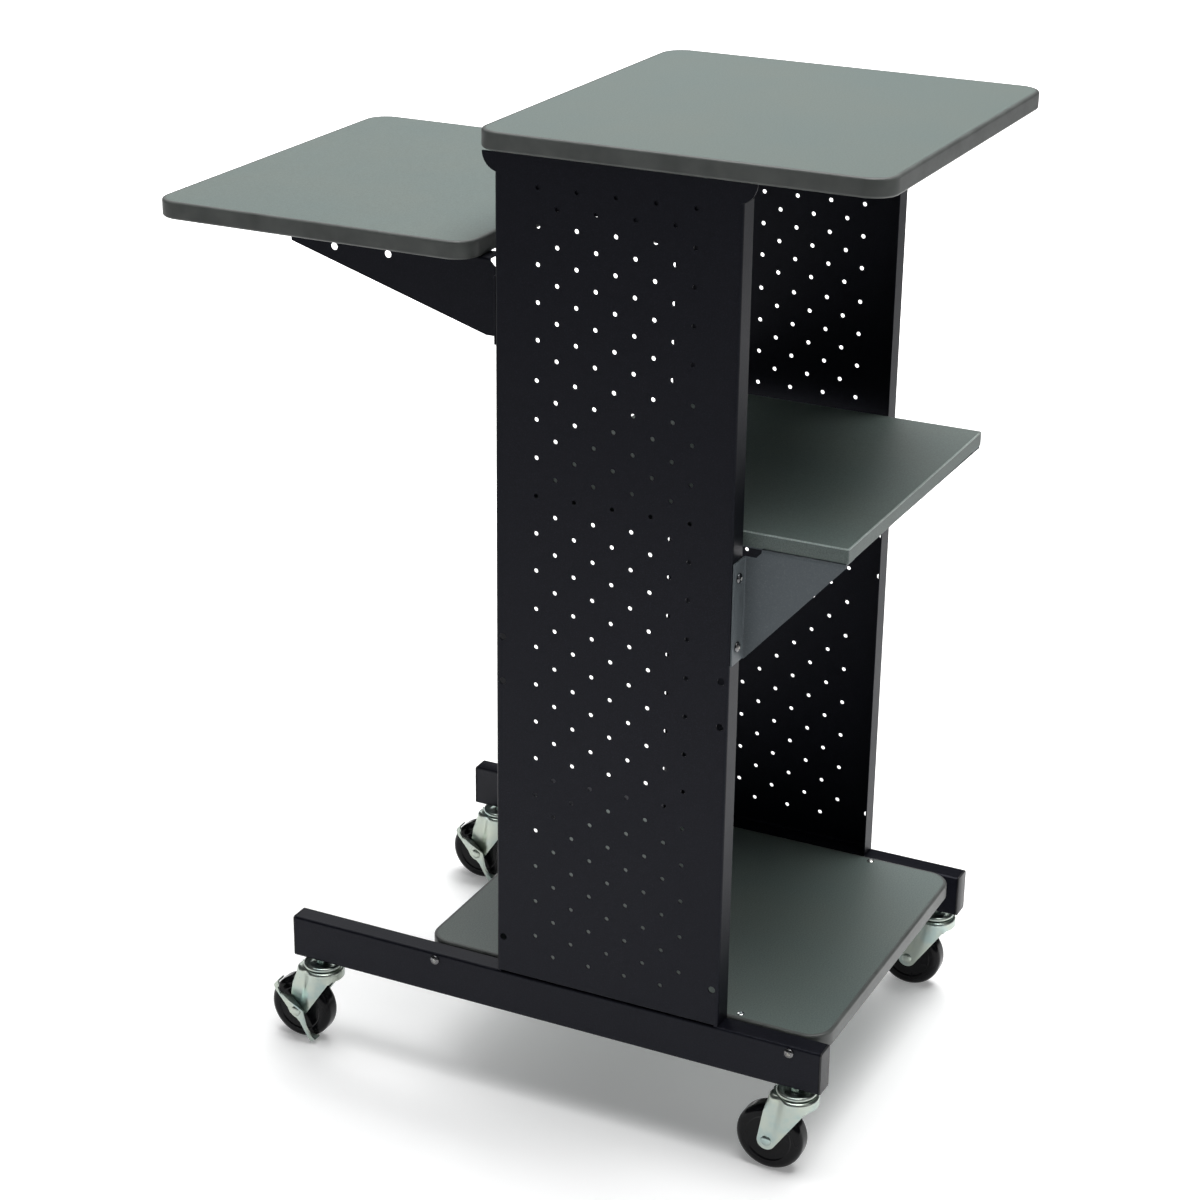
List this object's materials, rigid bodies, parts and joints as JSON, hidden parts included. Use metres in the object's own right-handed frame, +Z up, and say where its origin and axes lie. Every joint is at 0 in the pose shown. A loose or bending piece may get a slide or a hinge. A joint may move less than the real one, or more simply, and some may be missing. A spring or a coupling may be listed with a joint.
{
  "type": "lectern podium",
  "caption": "Mobile lectern podium: perforated steel side panels on base rails carry laminated shelves and a side shelf, on swivel casters with brakes.",
  "frame": {"origin": "centre of the bounding box, on the floor under the wheels", "axes": "+Z up; +X from the left side panel to the right one; -Y towards the reader, +Y towards the side shelf"},
  "size_m": [0.48, 0.806, 1.079],
  "materials": {
    "black_powder_coat": "satin textured powder coat",
    "grey_powder_coat": "satin powder coat",
    "black_plastic": "matt",
    "grey_laminate": "fine-textured grey-green laminate",
    "grey_edge_band": "satin",
    "zinc_plate": "bright zinc plate",
    "black_wheel": "hard, glossy",
    "black_screw": "black oxide"
  },
  "bodies": {
    "frame": {"side_panel_left": "black_powder_coat", "panel_front_lip_left": "black_powder_coat", "panel_rear_lip_left": "black_powder_coat", "panel_foot_left": "black_powder_coat", "base_rail_left": "black_powder_coat", "front_rail_cap_left": "black_plastic", "rear_rail_cap_left": "black_plastic", "middle_bracket_left": "grey_powder_coat", "side_bracket_left": "black_powder_coat", "top_bracket_left": "black_powder_coat", "bottom_ledger_left": "black_powder_coat", "side_panel_right": "black_powder_coat", "panel_front_lip_right": "black_powder_coat", "panel_rear_lip_right": "black_powder_coat", "panel_foot_right": "black_powder_coat", "base_rail_right": "black_powder_coat", "front_rail_cap_right": "black_plastic", "rear_rail_cap_right": "black_plastic", "middle_bracket_right": "grey_powder_coat", "side_bracket_right": "black_powder_coat", "top_bracket_right": "black_powder_coat", "bottom_ledger_right": "black_powder_coat", "top_shelf": "grey_laminate", "top_shelf_edge_band": "grey_edge_band", "side_shelf": "grey_laminate", "side_shelf_edge_band": "grey_edge_band", "bottom_shelf": "grey_laminate", "bottom_shelf_edge_band": "grey_edge_band", "middle_shelf": "grey_laminate", "middle_bracket_screw_left_1": "black_screw", "side_bracket_screw_left_1": "black_screw", "rail_screw_left_1": "black_screw", "middle_bracket_screw_left_2": "black_screw", "side_bracket_screw_left_2": "black_screw", "rail_screw_left_2": "black_screw", "middle_bracket_screw_right_1": "black_screw", "side_bracket_screw_right_1": "black_screw", "rail_screw_right_1": "black_screw", "middle_bracket_screw_right_2": "black_screw", "side_bracket_screw_right_2": "black_screw", "rail_screw_right_2": "black_screw", "front_left_caster_stem": "zinc_plate", "front_right_caster_stem": "zinc_plate", "rear_left_caster_stem": "zinc_plate", "rear_right_caster_stem": "zinc_plate"},
    "front_left_fork": {"front_left_caster_fork": "zinc_plate", "front_left_caster_axle": "zinc_plate"},
    "front_left_wheel": {"front_left_caster_wheel": "black_wheel"},
    "front_right_fork": {"front_right_caster_fork": "zinc_plate", "front_right_caster_axle": "zinc_plate"},
    "front_right_wheel": {"front_right_caster_wheel": "black_wheel"},
    "rear_left_fork": {"rear_left_caster_fork": "zinc_plate", "rear_left_caster_axle": "zinc_plate"},
    "rear_left_wheel": {"rear_left_caster_wheel": "black_wheel"},
    "rear_left_brake": {"rear_left_caster_brake_lever": "zinc_plate"},
    "rear_right_fork": {"rear_right_caster_fork": "zinc_plate", "rear_right_caster_axle": "zinc_plate"},
    "rear_right_wheel": {"rear_right_caster_wheel": "black_wheel"},
    "rear_right_brake": {"rear_right_caster_brake_lever": "zinc_plate"}
  },
  "joints": [
    {"name": "front_left_swivel", "type": "hinge", "parent": "frame", "child": "front_left_fork", "pos_m": [-0.215, -0.347, 0.096], "axis": [0, 0, 1], "continuous": true},
    {"name": "front_left_wheel_spin", "type": "hinge", "parent": "front_left_fork", "child": "front_left_wheel", "pos_m": [-0.215, -0.321, 0.038], "axis": [1, 0, 0], "continuous": true},
    {"name": "front_right_swivel", "type": "hinge", "parent": "frame", "child": "front_right_fork", "pos_m": [0.215, -0.347, 0.096], "axis": [0, 0, 1], "continuous": true},
    {"name": "front_right_wheel_spin", "type": "hinge", "parent": "front_right_fork", "child": "front_right_wheel", "pos_m": [0.215, -0.321, 0.038], "axis": [1, 0, 0], "continuous": true},
    {"name": "rear_left_swivel", "type": "hinge", "parent": "frame", "child": "rear_left_fork", "pos_m": [-0.215, 0.233, 0.096], "axis": [0, 0, 1], "continuous": true},
    {"name": "rear_left_wheel_spin", "type": "hinge", "parent": "rear_left_fork", "child": "rear_left_wheel", "pos_m": [-0.215, 0.259, 0.038], "axis": [1, 0, 0], "continuous": true},
    {"name": "rear_left_brake", "type": "hinge", "parent": "rear_left_fork", "child": "rear_left_brake", "pos_m": [-0.215, 0.259, 0.038], "axis": [-1, 0, 0], "range_deg": [0, 18]},
    {"name": "rear_right_swivel", "type": "hinge", "parent": "frame", "child": "rear_right_fork", "pos_m": [0.215, 0.233, 0.096], "axis": [0, 0, 1], "continuous": true},
    {"name": "rear_right_wheel_spin", "type": "hinge", "parent": "rear_right_fork", "child": "rear_right_wheel", "pos_m": [0.215, 0.259, 0.038], "axis": [1, 0, 0], "continuous": true},
    {"name": "rear_right_brake", "type": "hinge", "parent": "rear_right_fork", "child": "rear_right_brake", "pos_m": [0.215, 0.259, 0.038], "axis": [-1, 0, 0], "range_deg": [0, 18]}
  ]
}
